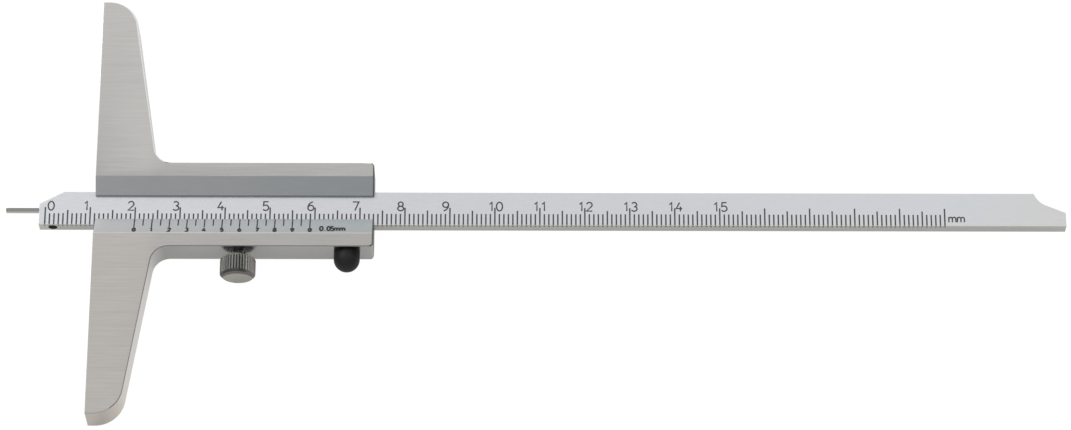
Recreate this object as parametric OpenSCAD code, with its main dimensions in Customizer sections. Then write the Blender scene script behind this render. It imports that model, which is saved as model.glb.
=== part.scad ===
// Vernier depth gauge with a pin tip, lying flat on its back, in millimetres.
// X runs along the beam, away from the measuring face, Y across it and Z up from the frame's back.
// The origin is where the beam's centre line crosses the measuring face, on the frame's back.

/* [Bridge] */
// Length of the bridge across the beam
bridge_length = 100; // [80:1:160]
// Thickness of the frame from its back to its front face
frame_thickness = 7.5; // [7:0.1:9]
// Flat at the end of each arm, next to the measuring face
arm_tip_flat = 1.6; // [1:0.1:4]
// Radius that rounds the end of each arm
arm_tip_radius = 6.5; // [4:0.1:8]
// Width of each arm where its taper meets the rail's outer edge
arm_root_width = 13.4; // [12.5:0.1:18]
// Radius of the fillet between each arm and its rail
root_fillet = 4; // [2:0.1:7]

/* [Slider] */
// Length of the slider from the measuring face to its end
slider_length = 62; // [56:1:90]
// Wall of the upper rail beyond the beam's upper edge
upper_rail_wall = 6.1; // [5:0.1:9]
// Wall of the lower rail beyond the beam's lower edge
lower_rail_wall = 6.2; // [6:0.1:9]
// Radius of the two corners at the slider's end
slider_corner_radius = 0.8; // [0.4:0.1:2]
// Wall behind the beam, which ties the two rails
back_wall = 2; // [1.4:0.1:2.3]
// Width of the flat land on the front of the upper rail
upper_land = 3.3; // [2:0.1:4.4]
// Width of the flat land on the front of the lower rail
lower_land = 3.2; // [2:0.1:4.4]

/* [Slideway] */
// How far the upper lip reaches over the beam
upper_lip_reach = 1.1; // [0.6:0.1:1.8]
// Thickness of the upper lip at its edge
upper_lip_edge = 0.6; // [0.3:0.1:1]
// How far the vernier edge reaches over the beam
vernier_reach = 1.3; // [0.6:0.1:1.8]
// Thickness of the vernier edge
vernier_edge = 0.15; // [0.1:0.05:0.4]
// Running clearance behind, before and above the beam
slide_gap = 0.03; // [0.02:0.01:0.06]
// Clearance between the beam's lower edge and the lower rail
lower_gap = 0.1; // [0.06:0.01:0.2]

/* [Beam] */
// Length of the beam without its pin
beam_length = 228.4; // [200:1:300]
// Width of the beam
beam_width = 8; // [7:0.1:12]
// Thickness of the beam
beam_thickness = 3; // [2.6:0.1:3.4]
// Reading at which the gauge is drawn
shown_reading = 20; // [0:0.05:150]
// Width of the broken edges along the beam
beam_edge_break = 0.15; // [0.05:0.05:0.3]
// Length of the cut corner at the pin end
corner_cut_length = 5.2; // [2:0.1:7]
// Height of the beam's end above the pin's axis, below the cut corner
corner_land = 1.2; // [1.1:0.1:1.8]
// Length of the concave run-out at the far end
nose_length = 7; // [5:0.1:12]
// Height of the narrow nose at the far end
nose_height = 3.3; // [2:0.1:5]
// Radius inside the run-out
nose_radius = 4.5; // [3:0.1:6]

/* [Measuring pin] */
// Diameter of the pin's free length
pin_diameter = 1.2; // [0.8:0.05:1.4]
// Free length of the pin beyond the beam
pin_length = 7.5; // [4:0.5:12]
// Diameter of the pin's shank inside the beam
pin_shank_diameter = 1.6; // [1.5:0.05:1.8]
// Length of the pin's shank inside the beam
pin_shank_length = 7; // [5:0.5:10]
// Chamfer at the pin's tip
pin_tip_chamfer = 0.15; // [0.05:0.05:0.3]
// Radial clearance of the shank in its bore
pin_fit = 0.01; // [0.01:0.01:0.03]
// Length of the bore beyond the shank
pin_bore_spare = 0.4; // [0.2:0.1:1]

/* [Pin set screw] */
// Distance of the set screw's axis from the beam's end
pin_screw_from_end = 3.1; // [2:0.1:4]
// Diameter of the set screw
pin_screw_diameter = 2; // [1.6:0.1:2.2]
// Length of the set screw
pin_screw_length = 2; // [1.4:0.1:2.4]
// Size of the set screw's hexagon socket across its corners
pin_screw_socket = 1; // [0.7:0.1:1.2]
// Depth of the set screw's socket
pin_screw_socket_depth = 0.9; // [0.5:0.1:1.2]
// Radial clearance of the set screw in its hole
pin_screw_fit = 0.02; // [0.01:0.01:0.04]
// Gap between the set screw's tip and the pin
pin_screw_gap = 0.02; // [0.01:0.01:0.04]

/* [Clamp screw] */
// Distance of the clamp screw's axis from the measuring face
clamp_from_face = 32; // [28:0.5:36]
// Diameter of the knurled head
clamp_head_diameter = 7.9; // [6:0.1:9]
// Height of the knurled head
clamp_head_height = 4.5; // [3:0.1:6]
// Chamfer at both ends of the head
clamp_head_chamfer = 0.6; // [0.3:0.1:0.9]
// Free neck between the rail and the head, with the screw loose
clamp_neck = 1.3; // [0.8:0.1:3]
// Diameter of the screw's thread
clamp_thread_diameter = 3; // [2.8:0.1:3.2]
// Radial clearance of the thread in its hole
clamp_thread_fit = 0.03; // [0.02:0.01:0.05]
// Diameter of the dog point at the screw's tip
clamp_point_diameter = 1.8; // [1.4:0.1:2.1]
// Length of the dog point
clamp_point_length = 1; // [0.6:0.1:1.4]
// Length of tapped hole beyond the end of the thread
clamp_thread_spare = 0.3; // [0.2:0.1:0.6]
// Chamfer at the mouth of the tapped hole
clamp_mouth_chamfer = 0.3; // [0.1:0.1:0.5]
// Number of ridges round the knurled head
knurl_count = 36; // [24:1:48]
// Depth of the knurl
knurl_depth = 0.25; // [0.1:0.05:0.35]

/* [Clamp shoe] */
// Diameter of the brass shoe
shoe_diameter = 2.4; // [2:0.1:2.5]
// Length of the brass shoe
shoe_length = 1.2; // [0.8:0.1:1.5]
// Radial clearance of the shoe in its bore
shoe_fit = 0.03; // [0.02:0.01:0.06]
// Chamfer at both ends of the shoe
shoe_chamfer = 0.15; // [0.05:0.05:0.3]
// Gap between the shoe and the spring, with the screw loose
shoe_gap = 0.1; // [0.09:0.01:0.2]
// Gap between the screw's point and the shoe
point_gap = 0.02; // [0.01:0.01:0.04]

/* [Leaf spring] */
// Thickness of the leaf spring
spring_thickness = 0.25; // [0.15:0.05:0.4]
// Bow of the leaf spring between its ends and its crest
spring_bow = 0.35; // [0.2:0.05:0.5]
// Gap between the spring's crest and the beam
spring_gap = 0.05; // [0.03:0.01:0.08]
// Gap between the spring's ends and the floor of its pocket
spring_seat_gap = 0.03; // [0.02:0.01:0.05]
// Clearance along each long edge of the spring
spring_edge_gap = 0.15; // [0.1:0.05:0.3]
// Clearance at each end of the spring
spring_end_gap = 0.3; // [0.1:0.1:0.6]
// Solid rail left between the spring's pocket and the slider's end
pocket_margin = 7; // [5:0.5:9]

/* [Thumb rest] */
// Distance of the thumb rest's axis from the slider's end
thumb_from_end = 5.9; // [4.5:0.1:7]
// Diameter of the thumb rest
thumb_diameter = 5.8; // [4:0.1:6.6]
// Height of the thumb rest below its dome
thumb_base = 1.5; // [0.6:0.1:2.5]
// Diameter of the thumb rest's stud
thumb_stud_diameter = 2.5; // [2:0.1:3]
// Length of the thumb rest's stud
thumb_stud_length = 3.6; // [2:0.1:4.2]
// Radial clearance of the stud in its hole
thumb_stud_fit = 0.02; // [0.01:0.01:0.04]
// Length of the stud's hole beyond the stud
thumb_hole_spare = 0.3; // [0.2:0.1:0.6]

/* [Hidden] */
$fn = 96;

// Number of sides that draw the leaf spring's long arc
spring_arc_sides = 720;
// How far each cut runs past the solid that it opens
overrun = 1;
// How far each rounded corner runs past its straight sides, so that the two cross cleanly
blend = 0.002;
// Place of the bend in the run-out, as shares of its length and of its drop
nose_bend_share = [0.84, 0.53];

// Heights along Z
beam_back_z = back_wall + slide_gap;
beam_front_z = beam_back_z + beam_thickness;
slide_front_z = beam_front_z + slide_gap;
axis_z = beam_back_z + beam_thickness / 2;

// Places along Y
beam_half = beam_width / 2;
upper_rail_y = beam_half + upper_rail_wall;
lower_rail_y = -beam_half - lower_rail_wall;
slide_upper_y = beam_half + slide_gap;
slide_lower_y = -beam_half - lower_gap;
upper_lip_y = beam_half - upper_lip_reach;
vernier_y = -beam_half + vernier_reach;
spring_crest_y = -beam_half - spring_gap;
pocket_floor_y = spring_crest_y - spring_bow - spring_thickness - spring_seat_gap;
shoe_front_y = spring_crest_y - spring_thickness - shoe_gap;
point_y = shoe_front_y - shoe_length - point_gap;
thread_end_y = point_y - clamp_point_length;
head_top_y = lower_rail_y - clamp_neck;
pin_screw_tip_y = -pin_shank_diameter / 2 - pin_screw_gap;

// Places along X
pin_tip_x = -shown_reading;
beam_left_x = pin_tip_x + pin_length;
beam_right_x = beam_left_x + beam_length;
pin_screw_x = beam_left_x + pin_screw_from_end;
thumb_x = slider_length - thumb_from_end;
pocket_half = min(clamp_from_face, slider_length - clamp_from_face) - pocket_margin;
spring_half = pocket_half - spring_end_gap;

// Radius of the leaf spring's convex side, from its half length and its bow
spring_radius = (spring_half * spring_half + spring_bow * spring_bow) / (2 * spring_bow);

// A point on a circle of the given radius
function on_circle(r, angle) = [r * cos(angle), r * sin(angle)];

// Turns a shape drawn in the YZ plane, and raised along Z, to lie along X
module along_x() {
    rotate([90, 0, 90]) children();
}

// Turns a shape raised along Z to point away from the lower rail, at the height of the beam's axis
module below_rail(x, y) {
    translate([x, y, axis_z]) rotate([90, 0, 0]) children();
}

// One arm of the bridge, from the beam's centre line out, with the fillet to its rail
module arm(rail_y) {
    tip = [arm_tip_flat, bridge_length / 2 - arm_tip_radius];
    root = [arm_root_width, rail_y];
    // The taper leaves the rounded end as its tangent, so its normal has this angle
    normal = atan2(root.y - tip.y, root.x - tip.x) + acos(arm_tip_radius / norm(root - tip));
    tangent = tip + on_circle(arm_tip_radius - blend, normal);
    fillet_x = root.x + root_fillet * (1 - sin(normal)) / cos(normal);
    fillet = [fillet_x, root.y + root_fillet];
    difference() {
        polygon([[0, 0], [fillet.x, 0], fillet, fillet - on_circle(root_fillet, normal),
                 tangent, tip, [tip.x, bridge_length / 2], [0, bridge_length / 2]]);
        translate(fillet) circle(r = root_fillet + blend);
    }
    translate(tip) intersection() {
        circle(r = arm_tip_radius);
        square(arm_tip_radius + overrun);
    }
}

// Outline of the frame seen from the front
module frame_outline() {
    arm(upper_rail_y);
    mirror([0, 1]) arm(-lower_rail_y);
    inner_end = slider_length - slider_corner_radius;
    inner_low = lower_rail_y + slider_corner_radius;
    inner_high = upper_rail_y - slider_corner_radius;
    translate([0, lower_rail_y]) square([inner_end, upper_rail_y - lower_rail_y]);
    translate([0, inner_low]) square([slider_length, inner_high - inner_low]);
    translate([inner_end, inner_low]) circle(r = slider_corner_radius);
    translate([inner_end, inner_high]) circle(r = slider_corner_radius);
}

// Section of the slideway: the undercut channel, the window and the two bevels beside it
module slideway_section() {
    upper_bevel_y = upper_rail_y - upper_land;
    lower_bevel_y = lower_rail_y + lower_land;
    above = frame_thickness + overrun;
    polygon([[slide_lower_y, back_wall], [slide_upper_y, back_wall],
             [slide_upper_y, slide_front_z], [upper_lip_y, slide_front_z],
             [upper_lip_y, slide_front_z + upper_lip_edge], [upper_bevel_y, frame_thickness],
             [upper_bevel_y, above], [lower_bevel_y, above], [lower_bevel_y, frame_thickness],
             [vernier_y, slide_front_z + vernier_edge], [vernier_y, slide_front_z],
             [slide_lower_y, slide_front_z]]);
}

// Pocket for the leaf spring in the lower wall of the slideway
module spring_pocket() {
    translate([clamp_from_face - pocket_half, pocket_floor_y, back_wall])
        cube([2 * pocket_half, -pocket_floor_y, slide_front_z - back_wall]);
}

// Stepped hole for the clamp screw and its shoe, from the lower rail's outer side inwards
module clamp_hole() {
    hole_r = clamp_thread_diameter / 2;
    tapped = thread_end_y + clamp_thread_spare - lower_rail_y;
    below_rail(clamp_from_face, lower_rail_y + tapped) cylinder(h = tapped + overrun, r = hole_r);
    below_rail(clamp_from_face, slide_lower_y)
        cylinder(h = slide_lower_y - lower_rail_y, r = shoe_diameter / 2 + shoe_fit);
    below_rail(clamp_from_face, lower_rail_y + clamp_mouth_chamfer)
        cylinder(h = clamp_mouth_chamfer, r1 = hole_r, r2 = hole_r + clamp_mouth_chamfer);
}

// Blind hole for the thumb rest's stud
module thumb_hole() {
    depth = thumb_stud_length + thumb_hole_spare;
    below_rail(thumb_x, lower_rail_y + depth)
        cylinder(h = depth + overrun, r = thumb_stud_diameter / 2 + thumb_stud_fit);
}

// Bridge and slider in one piece, with the undercut slideway between its rails
module frame() {
    color([0.72, 0.71, 0.69]) difference() {
        linear_extrude(frame_thickness) frame_outline();
        translate([-overrun, 0, 0]) along_x()
            linear_extrude(slider_length + 2 * overrun) slideway_section();
        spring_pocket();
        clamp_hole();
        thumb_hole();
    }
}

// Outline of the beam seen from the front, with its cut corner and its concave run-out
module beam_outline() {
    top = [beam_right_x - nose_length, beam_half];
    nose = [beam_right_x, nose_height - beam_half];
    bend = [nose.x - nose_length * nose_bend_share.x, nose.y + (top.y - nose.y) * nose_bend_share.y];
    steep = atan2(top.y - bend.y, top.x - bend.x);
    ramp = atan2(nose.y - bend.y, nose.x - bend.x);
    half_angle = (steep - ramp) / 2;
    reach = nose_radius / tan(half_angle);
    centre = bend + on_circle(nose_radius / sin(half_angle), (steep + ramp) / 2);
    difference() {
        polygon([[beam_left_x, -beam_half], [nose.x, -beam_half], nose,
                 bend + on_circle(reach, ramp), centre, bend + on_circle(reach, steep), top,
                 [beam_left_x + corner_cut_length, beam_half], [beam_left_x, corner_land]]);
        translate(centre) circle(r = nose_radius + blend);
    }
}

// Section of the beam with its long edges broken
module beam_section() {
    in_y = beam_half - beam_edge_break;
    low = beam_back_z + beam_edge_break;
    high = beam_front_z - beam_edge_break;
    polygon([[-in_y, beam_back_z], [in_y, beam_back_z], [beam_half, low], [beam_half, high],
             [in_y, beam_front_z], [-in_y, beam_front_z], [-beam_half, high], [-beam_half, low]]);
}

// Flat beam that slides through the frame
module beam() {
    pin_hole = pin_shank_length + pin_bore_spare;
    color([0.82, 0.83, 0.85]) difference() {
        intersection() {
            linear_extrude(frame_thickness) beam_outline();
            translate([beam_left_x, 0, 0]) along_x() linear_extrude(beam_length) beam_section();
        }
        translate([beam_left_x - overrun, 0, axis_z]) rotate([0, 90, 0])
            cylinder(h = pin_hole + overrun, r = pin_shank_diameter / 2 + pin_fit);
        below_rail(pin_screw_x, 0)
            cylinder(h = beam_half + overrun, r = pin_screw_diameter / 2 + pin_screw_fit);
    }
}

// Hardened pin that measures, with a thicker shank inside the beam
module measuring_pin() {
    r = pin_diameter / 2;
    shank_r = pin_shank_diameter / 2;
    full = pin_shank_length + pin_length;
    color([0.58, 0.58, 0.55])
        translate([beam_left_x + pin_shank_length, 0, axis_z]) rotate([0, -90, 0])
        rotate_extrude()
        polygon([[0, 0], [shank_r, 0], [shank_r, pin_shank_length], [r, pin_shank_length],
                 [r, full - pin_tip_chamfer], [r - pin_tip_chamfer, full], [0, full]]);
}

// Grub screw that holds the measuring pin, with a hexagon socket
module pin_set_screw() {
    color([0.12, 0.12, 0.13]) below_rail(pin_screw_x, pin_screw_tip_y) difference() {
        cylinder(h = pin_screw_length, r = pin_screw_diameter / 2);
        translate([0, 0, pin_screw_length - pin_screw_socket_depth])
            cylinder(h = pin_screw_socket_depth + overrun, r = pin_screw_socket / 2, $fn = 6);
    }
}

// Star-shaped outline of a straight knurl
module knurl_outline(r) {
    polygon([for (i = [0 : 2 * knurl_count - 1])
        on_circle(r - (i % 2) * knurl_depth, i * 180 / knurl_count)]);
}

// Head of the clamp screw: a straight knurl, turned down at both ends by 45 degree chamfers
module clamp_head() {
    r = clamp_head_diameter / 2;
    end_r = r - clamp_head_chamfer;
    middle = clamp_head_height / 2;
    intersection() {
        linear_extrude(clamp_head_height) knurl_outline(r);
        rotate_extrude()
            polygon([[0, 0], [end_r, 0], [end_r + middle, middle], [end_r, clamp_head_height],
                     [0, clamp_head_height]]);
    }
}

// Clamp screw in one piece: dog point, thread, neck and knurled head
module clamp_screw() {
    shank = thread_end_y - head_top_y;
    color([0.55, 0.55, 0.54]) {
        below_rail(clamp_from_face, point_y)
            cylinder(h = clamp_point_length, r = clamp_point_diameter / 2);
        below_rail(clamp_from_face, thread_end_y)
            cylinder(h = shank, r = clamp_thread_diameter / 2 - clamp_thread_fit);
        below_rail(clamp_from_face, head_top_y) clamp_head();
    }
}

// Brass shoe that passes the screw's push on to the leaf spring
module clamp_shoe() {
    r = shoe_diameter / 2;
    color([0.80, 0.62, 0.30]) below_rail(clamp_from_face, shoe_front_y) rotate_extrude()
        polygon([[0, 0], [r - shoe_chamfer, 0], [r, shoe_chamfer],
                 [r, shoe_length - shoe_chamfer], [r - shoe_chamfer, shoe_length],
                 [0, shoe_length]]);
}

// Bowed spring strip between the beam's lower edge and the lower rail
module leaf_spring() {
    strip = beam_thickness - 2 * spring_edge_gap;
    color([0.72, 0.50, 0.28])
        translate([clamp_from_face, spring_crest_y, beam_back_z + spring_edge_gap])
        linear_extrude(strip) intersection() {
            translate([0, -spring_radius]) difference() {
                circle(r = spring_radius, $fn = spring_arc_sides);
                circle(r = spring_radius - spring_thickness, $fn = spring_arc_sides);
            }
            translate([-spring_half, -overrun]) square([2 * spring_half, 2 * overrun]);
        }
}

// Domed thumb rest with the stud that holds it in the lower rail
module thumb_rest() {
    r = thumb_diameter / 2;
    color([0.07, 0.07, 0.07]) {
        below_rail(thumb_x, lower_rail_y) rotate_extrude() {
            square([r, thumb_base]);
            translate([0, thumb_base]) intersection() {
                circle(r = r);
                square(r);
            }
        }
        below_rail(thumb_x, lower_rail_y + thumb_stud_length)
            cylinder(h = thumb_stud_length, r = thumb_stud_diameter / 2);
    }
}

frame();
beam();
measuring_pin();
pin_set_screw();
clamp_screw();
clamp_shoe();
leaf_spring();
thumb_rest();
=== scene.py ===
import math

import bmesh
import bpy
from mathutils import Matrix, Vector


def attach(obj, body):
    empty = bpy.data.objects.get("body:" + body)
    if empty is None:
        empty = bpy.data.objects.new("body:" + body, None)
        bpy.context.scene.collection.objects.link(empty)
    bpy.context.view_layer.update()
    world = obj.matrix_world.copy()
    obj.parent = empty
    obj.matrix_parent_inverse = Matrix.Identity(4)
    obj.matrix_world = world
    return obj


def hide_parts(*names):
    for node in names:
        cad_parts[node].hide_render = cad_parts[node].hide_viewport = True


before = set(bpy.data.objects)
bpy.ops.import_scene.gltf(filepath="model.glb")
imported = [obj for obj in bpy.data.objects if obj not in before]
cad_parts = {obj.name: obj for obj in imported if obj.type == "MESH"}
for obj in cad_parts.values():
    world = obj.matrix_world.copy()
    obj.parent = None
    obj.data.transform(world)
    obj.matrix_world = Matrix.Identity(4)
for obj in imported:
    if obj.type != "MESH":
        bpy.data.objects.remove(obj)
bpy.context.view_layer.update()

# Sizes are in millimetres, as in part.scad, and MM turns them into metres. Only the strokes,
# patches, worn edges and depths of the finishes are in metres. Angles are in degrees.
MM = 0.001

# Limits by which faces and edges are told apart
TOUCH = 0.01
END_REACH = 0.05
SMALL_STEP = 0.1
WELL_CLEAR = 0.5
RIM_REACH = 0.3
MERGE_REACH = 0.0005
SLIGHT_BEND = 10
SQUARE_ON = 0.9
TURNED_AWAY = 0.3

# Fineness of round forms
BREAK_SEGMENTS = 3
ARC_STEPS = 28
FILLET_STEPS = 20
CORNER_STEPS = 10
RUN_OUT_STEPS = 16
ROUND_SIDES = 48
THUMB_SIDES = 72
PIN_BORE_SIDES = 32
PIN_SCREW_HOLE_SIDES = 40
SIDES_PER_RIDGE = 10
RINGS_PER_TURN = 10
CHAMFER_STEPS = 5
DOME_STEPS = 24
POLE_RADIUS = 0.01

# Bridge and slider
BRIDGE_LENGTH = 100.0
FRAME_THICKNESS = 7.5
ARM_TIP_FLAT = 1.6
ARM_TIP_RADIUS = 6.5
ARM_ROOT_WIDTH = 13.4
ROOT_FILLET = 4.0
SLIDER_LENGTH = 62.0
UPPER_RAIL_Y = 10.1
LOWER_RAIL_Y = -10.2
SLIDER_CORNER = 0.8
FRAME_EDGE_BREAK = 0.22
LAND_EDGE_BREAK = 0.12
RAIL_EDGE_BREAK = 0.1
ARC_EDGE_BREAK = 0.42
FACE_EDGE_BREAK = 0.07
END_EDGE_BREAK = 0.28
VERNIER_END_BREAK = 0.18

# The broken edge widens along the upper arm and round its tip; the lower arm's tip edge is painted
# lighter, as a painted highlight
WIDE_BREAK_FROM_Y = 36
WIDE_BREAK_RUN = 7
WIDE_BREAK_TURN = 60
LIGHTER_TIP_X = 5.2
LIGHTER_TIP_LENGTH = 4

# Slideway
SLIDEWAY_FLOOR = 2.0
SLIDEWAY_TOP = 5.06
SLIDE_UPPER_Y = 4.03
SLIDE_LOWER_Y = -4.1
UPPER_LIP_Y = 2.9
UPPER_LIP_TOP = 5.66
UPPER_BEVEL_Y = 6.8
VERNIER_Y = -2.7
VERNIER_TOP = 5.21
LOWER_BEVEL_Y = -7.0

# Beam
BEAM_LEFT = -12.5
BEAM_RIGHT = 215.9
BEAM_HALF = 4.0
BEAM_BACK = 2.03
BEAM_FRONT = 5.03
CORNER_CUT = 5.2
CORNER_LAND = 1.2
NOSE_LENGTH = 7.0
NOSE_HEIGHT = 3.3
NOSE_RADIUS = 4.5
NOSE_BEND = (0.84, 0.53)
BEAM_EDGE_BREAK = 0.12
CUT_EDGE_BREAK = 0.3
BEAM_END_BREAK = 0.05
AXIS_Z = 3.53

# Measuring pin and its grub screw
PIN_RADIUS = 0.6
PIN_LENGTH = 7.5
PIN_SHANK_RADIUS = 0.8
PIN_SHANK_LENGTH = 7.0
PIN_TIP_CHAMFER = 0.15
PIN_SHANK_CHAMFER = 0.05
PIN_BORE_CLEARANCE = 0.01
PIN_BORE_ROOM = 0.4
PIN_BORE_CUT = 9
PIN_SCREW_X = -9.4
PIN_SCREW_HOLE_RADIUS = 1.02
PIN_SCREW_HOLE_TOP_Y = -0.4
PIN_SCREW_HOLE_CUT = 6

# Clamp screw
CLAMP_X = 32.0
HEAD_TOP_Y = -11.5
HEAD_RADIUS = 3.95
HEAD_HEIGHT = 4.5
HEAD_CHAMFER = 0.6
HEAD_END_CHAMFER = 0.55
KNURL_COUNT = 36
KNURL_DEPTH = 0.25
KNURL_LAND_SHARE = 0.3
END_FACE_RING = 0.25
THREAD_RADIUS = 1.47
THREAD_PITCH = 0.5
THREAD_DEPTH = 0.24
THREAD_END_Y = -6.62
THREAD_RUN_OUT = 0.1
THREAD_CHAMFER = 0.3
POINT_LENGTH = 1.0
POINT_RADIUS = 0.9
POINT_SHOULDER = 0.02
CLAMP_HOLE_RADIUS = 1.5
CLAMP_HOLE_CHAMFER = 0.3
CLAMP_HOLE_CUT = 7.0
SHOE_HOLE_RADIUS = 1.23
SHOE_HOLE_DEPTH = 2.2

# Thumb rest
THUMB_X = 56.1
THUMB_RADIUS = 2.9
THUMB_BASE = 1.5
THUMB_STUD_RADIUS = 1.25
THUMB_STUD_LENGTH = 3.6
THUMB_STUD_CHAMFER = 0.2
THUMB_STUD_CLEARANCE = 0.02
THUMB_HOLE_ROOM = 0.3
THUMB_HOLE_CUT = 5
# Rounded foot of the dome, as (step in from its radius, height)
THUMB_FOOT = ((0.12, 0.0), (0.03, 0.04), (0, 0.12))
THUMB_DOME_END = 89

# Leaf spring's pocket in the lower wall of the slideway
POCKET_HALF = 23.0
POCKET_FLOOR_Y = -4.68
POCKET_CUT_TOP_Y = -1.0

# Graduations: whole millimetres on the beam, 20 divisions on 39 mm on the vernier
SCALE_ZERO_X = -11.1
SCALE_LINES = 200
SCALE_NUMERALS = 15
LINE_WIDTH = 0.33
LINE_TOPS = {10: 0.22, 5: -0.46, 1: -1.27}
LINE_DOWN_SIDE = 0.7
NUMERAL_HEIGHT = 2.12
NUMERAL_FOOT_Y = -0.51
NUMERAL_STROKE = 0.31
NUMERAL_GAP = 0.3
FIRST_NUMERAL_GAP = 0.6
TENS_LEFT = -1.32
UNITS_LEFT = 0.35
CHARACTER_HEIGHT = 1.6
CHARACTER_SPREAD = 1.35
UNIT_LEFT_GAP = 0.9
UNIT_FOOT_Y = -3.05
UNIT_HEIGHT = 1.95
UNIT_STROKE = 0.3
UNIT_SQUEEZE = 0.8
VERNIER_ZERO_X = 8.9
VERNIER_SPAN = 39.0
VERNIER_DIVISIONS = 20
VERNIER_LONG = 3.0
VERNIER_SHORT = 2.4
VERNIER_LINE_START = 0.06
VERNIER_LINE_WIDTH = 0.28
VERNIER_NUMERAL_HEIGHT = 1.1
VERNIER_NUMERAL_MIDDLE = 3.85
VERNIER_NUMERAL_STROKE = 0.46
VERNIER_NUMERAL_SHIFT = 0.05
VERNIER_SQUEEZE = 0.8
VALUE_LEFT = 50.15
VALUE_FOOT = -4.1
VALUE_HEIGHT = 1.5
VALUE_STROKE = 0.42
VALUE_SPREAD = 1.22
VALUE_SQUEEZE = 0.71
INK_STANDS = 0.012
STROKE_LIFT = 0.004
INK_SINKS = 0.05
SHARPEST_MITRE = 0.6


def bow(cx, cy, rx, ry, start, end, steps=10):
    """Points along a part of an ellipse, angles in degrees."""
    points = []
    for i in range(steps + 1):
        angle = math.radians(start + (end - start) * i / steps)
        points.append((cx + rx * math.cos(angle), cy + ry * math.sin(angle)))
    return points


def arc(centre, radius, start, end, steps):
    return bow(*centre, radius, radius, start, end, steps)


class Shell:
    """A mesh under way whose faces share the points that they have in common."""

    def __init__(self):
        self.mesh = bmesh.new()
        self.points = {}

    def point(self, place):
        key = tuple(round(c, 6) for c in place)
        if key not in self.points:
            self.points[key] = self.mesh.verts.new(place)
        return self.points[key]

    def face(self, places):
        corners = []
        for place in places:
            corner = self.point(place)
            if corner not in corners:
                corners.append(corner)
        if len(corners) > 2:
            self.mesh.faces.new(corners)


def placed_in_scene(name, data):
    thing = bpy.data.objects.new(name, data)
    bpy.context.scene.collection.objects.link(thing)
    return thing


def made_object(name, mesh, materials):
    data = bpy.data.meshes.new(name)
    mesh.to_mesh(data)
    mesh.free()
    for material in materials:
        data.materials.append(material)
    return placed_in_scene(name, data)


def piece(name, mesh, body, materials):
    """Turns a mesh in millimetres into a piece that rides on a body."""
    bmesh.ops.recalc_face_normals(mesh, faces=mesh.faces)
    bmesh.ops.scale(mesh, vec=(MM, MM, MM), verts=mesh.verts)
    thing = made_object(name, mesh, materials)
    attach(thing, body)
    return thing


def prism(outline, low, high):
    """A closed solid with the given outline, from one height to another."""
    shell = Shell()
    shell.face([(x, y, low) for x, y in outline])
    shell.face([(x, y, high) for x, y in outline])
    for (ax, ay), (bx, by) in zip(outline, outline[1:] + outline[:1]):
        shell.face([(ax, ay, low), (bx, by, low), (bx, by, high), (ax, ay, high)])
    return shell.mesh


def turned(rings, sides, radius_at=None):
    """A turned solid about Z from (radius, height) rings, closed at both ends."""
    mesh = bmesh.new()
    loops = []
    for radius, height in rings:
        loop = []
        for j in range(sides):
            turn = j / sides
            reach = radius_at(radius, height, turn) if radius_at else radius
            angle = 2 * math.pi * turn
            loop.append(mesh.verts.new((reach * math.cos(angle), reach * math.sin(angle), height)))
        loops.append(loop)
    for low, high in zip(loops, loops[1:]):
        for j in range(sides):
            k = (j + 1) % sides
            mesh.faces.new((low[j], low[k], high[k], high[j]))
    mesh.faces.new(loops[0])
    mesh.faces.new(loops[-1])
    return mesh


def laid(mesh, angle, axis, x, y):
    """Turns a solid made about Z by an angle about an axis, and lays it at the beam's height."""
    spin = Matrix.Rotation(math.radians(angle), 4, axis)
    bmesh.ops.transform(mesh, matrix=Matrix.Translation((x, y, AXIS_Z)) @ spin, verts=mesh.verts)
    return mesh


def to_rail(mesh, x, y):
    """Points a solid made about Z away from the lower rail."""
    return laid(mesh, 90, "X", x, y)


def to_pin(mesh, x):
    """Points a solid made about Z away from the beam's left end."""
    return laid(mesh, -90, "Y", x, 0)


def loose(mesh, label, slots=0):
    """A loose object that holds a mesh while modifiers work on it."""
    bmesh.ops.recalc_face_normals(mesh, faces=mesh.faces)
    return made_object(label, mesh, [None] * slots)


def settled(thing, tools=()):
    """The mesh that an object's modifiers give; the object and its tools go."""
    shaped = thing.evaluated_get(bpy.context.evaluated_depsgraph_get())
    left = bmesh.new()
    left.from_mesh(shaped.data)
    for spare in [thing, *tools]:
        data = spare.data
        bpy.data.objects.remove(spare)
        bpy.data.meshes.remove(data)
    return left


def cut(mesh, cutters):
    """Cuts solids out of a mesh and gives back the mesh that is left."""
    blank = loose(mesh, "blank")
    tools = [loose(cutter, "cutter") for cutter in cutters]
    for tool in tools:
        step = blank.modifiers.new("cut", "BOOLEAN")
        step.operation = "DIFFERENCE"
        step.solver = "EXACT"
        step.object = tool
    return settled(blank, tools)


def break_edges(mesh, width, finish):
    """Rounds off edges, each by width(edge) in millimetres, in the finish of one slot."""
    widths = mesh.edges.layers.float.new("bevel_weight_edge")
    for edge in mesh.edges:
        edge[widths] = width(edge) if len(edge.link_faces) == 2 else 0.0
    blank = loose(mesh, "blank", finish + 1)
    step = blank.modifiers.new("broken_edges", "BEVEL")
    step.limit_method = "WEIGHT"
    step.width = 1.0
    step.segments = BREAK_SEGMENTS
    step.material = finish
    step.use_clamp_overlap = False
    return settled(blank)


def merge_corners(mesh):
    """Joins corners that a cut has left on the same spot."""
    bmesh.ops.remove_doubles(mesh, verts=mesh.verts, dist=MERGE_REACH)


def bends(edge):
    """True where the surface turns enough at an edge for it to be broken."""
    return edge.calc_face_angle(0) >= math.radians(SLIGHT_BEND)


def shade(mesh, crease=46):
    """Smooth shading, with edges sharper than the crease kept sharp."""
    for face in mesh.faces:
        face.smooth = True
    for edge in mesh.edges:
        if len(edge.link_faces) == 2 and edge.calc_face_angle(0) > math.radians(crease):
            edge.smooth = False


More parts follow.
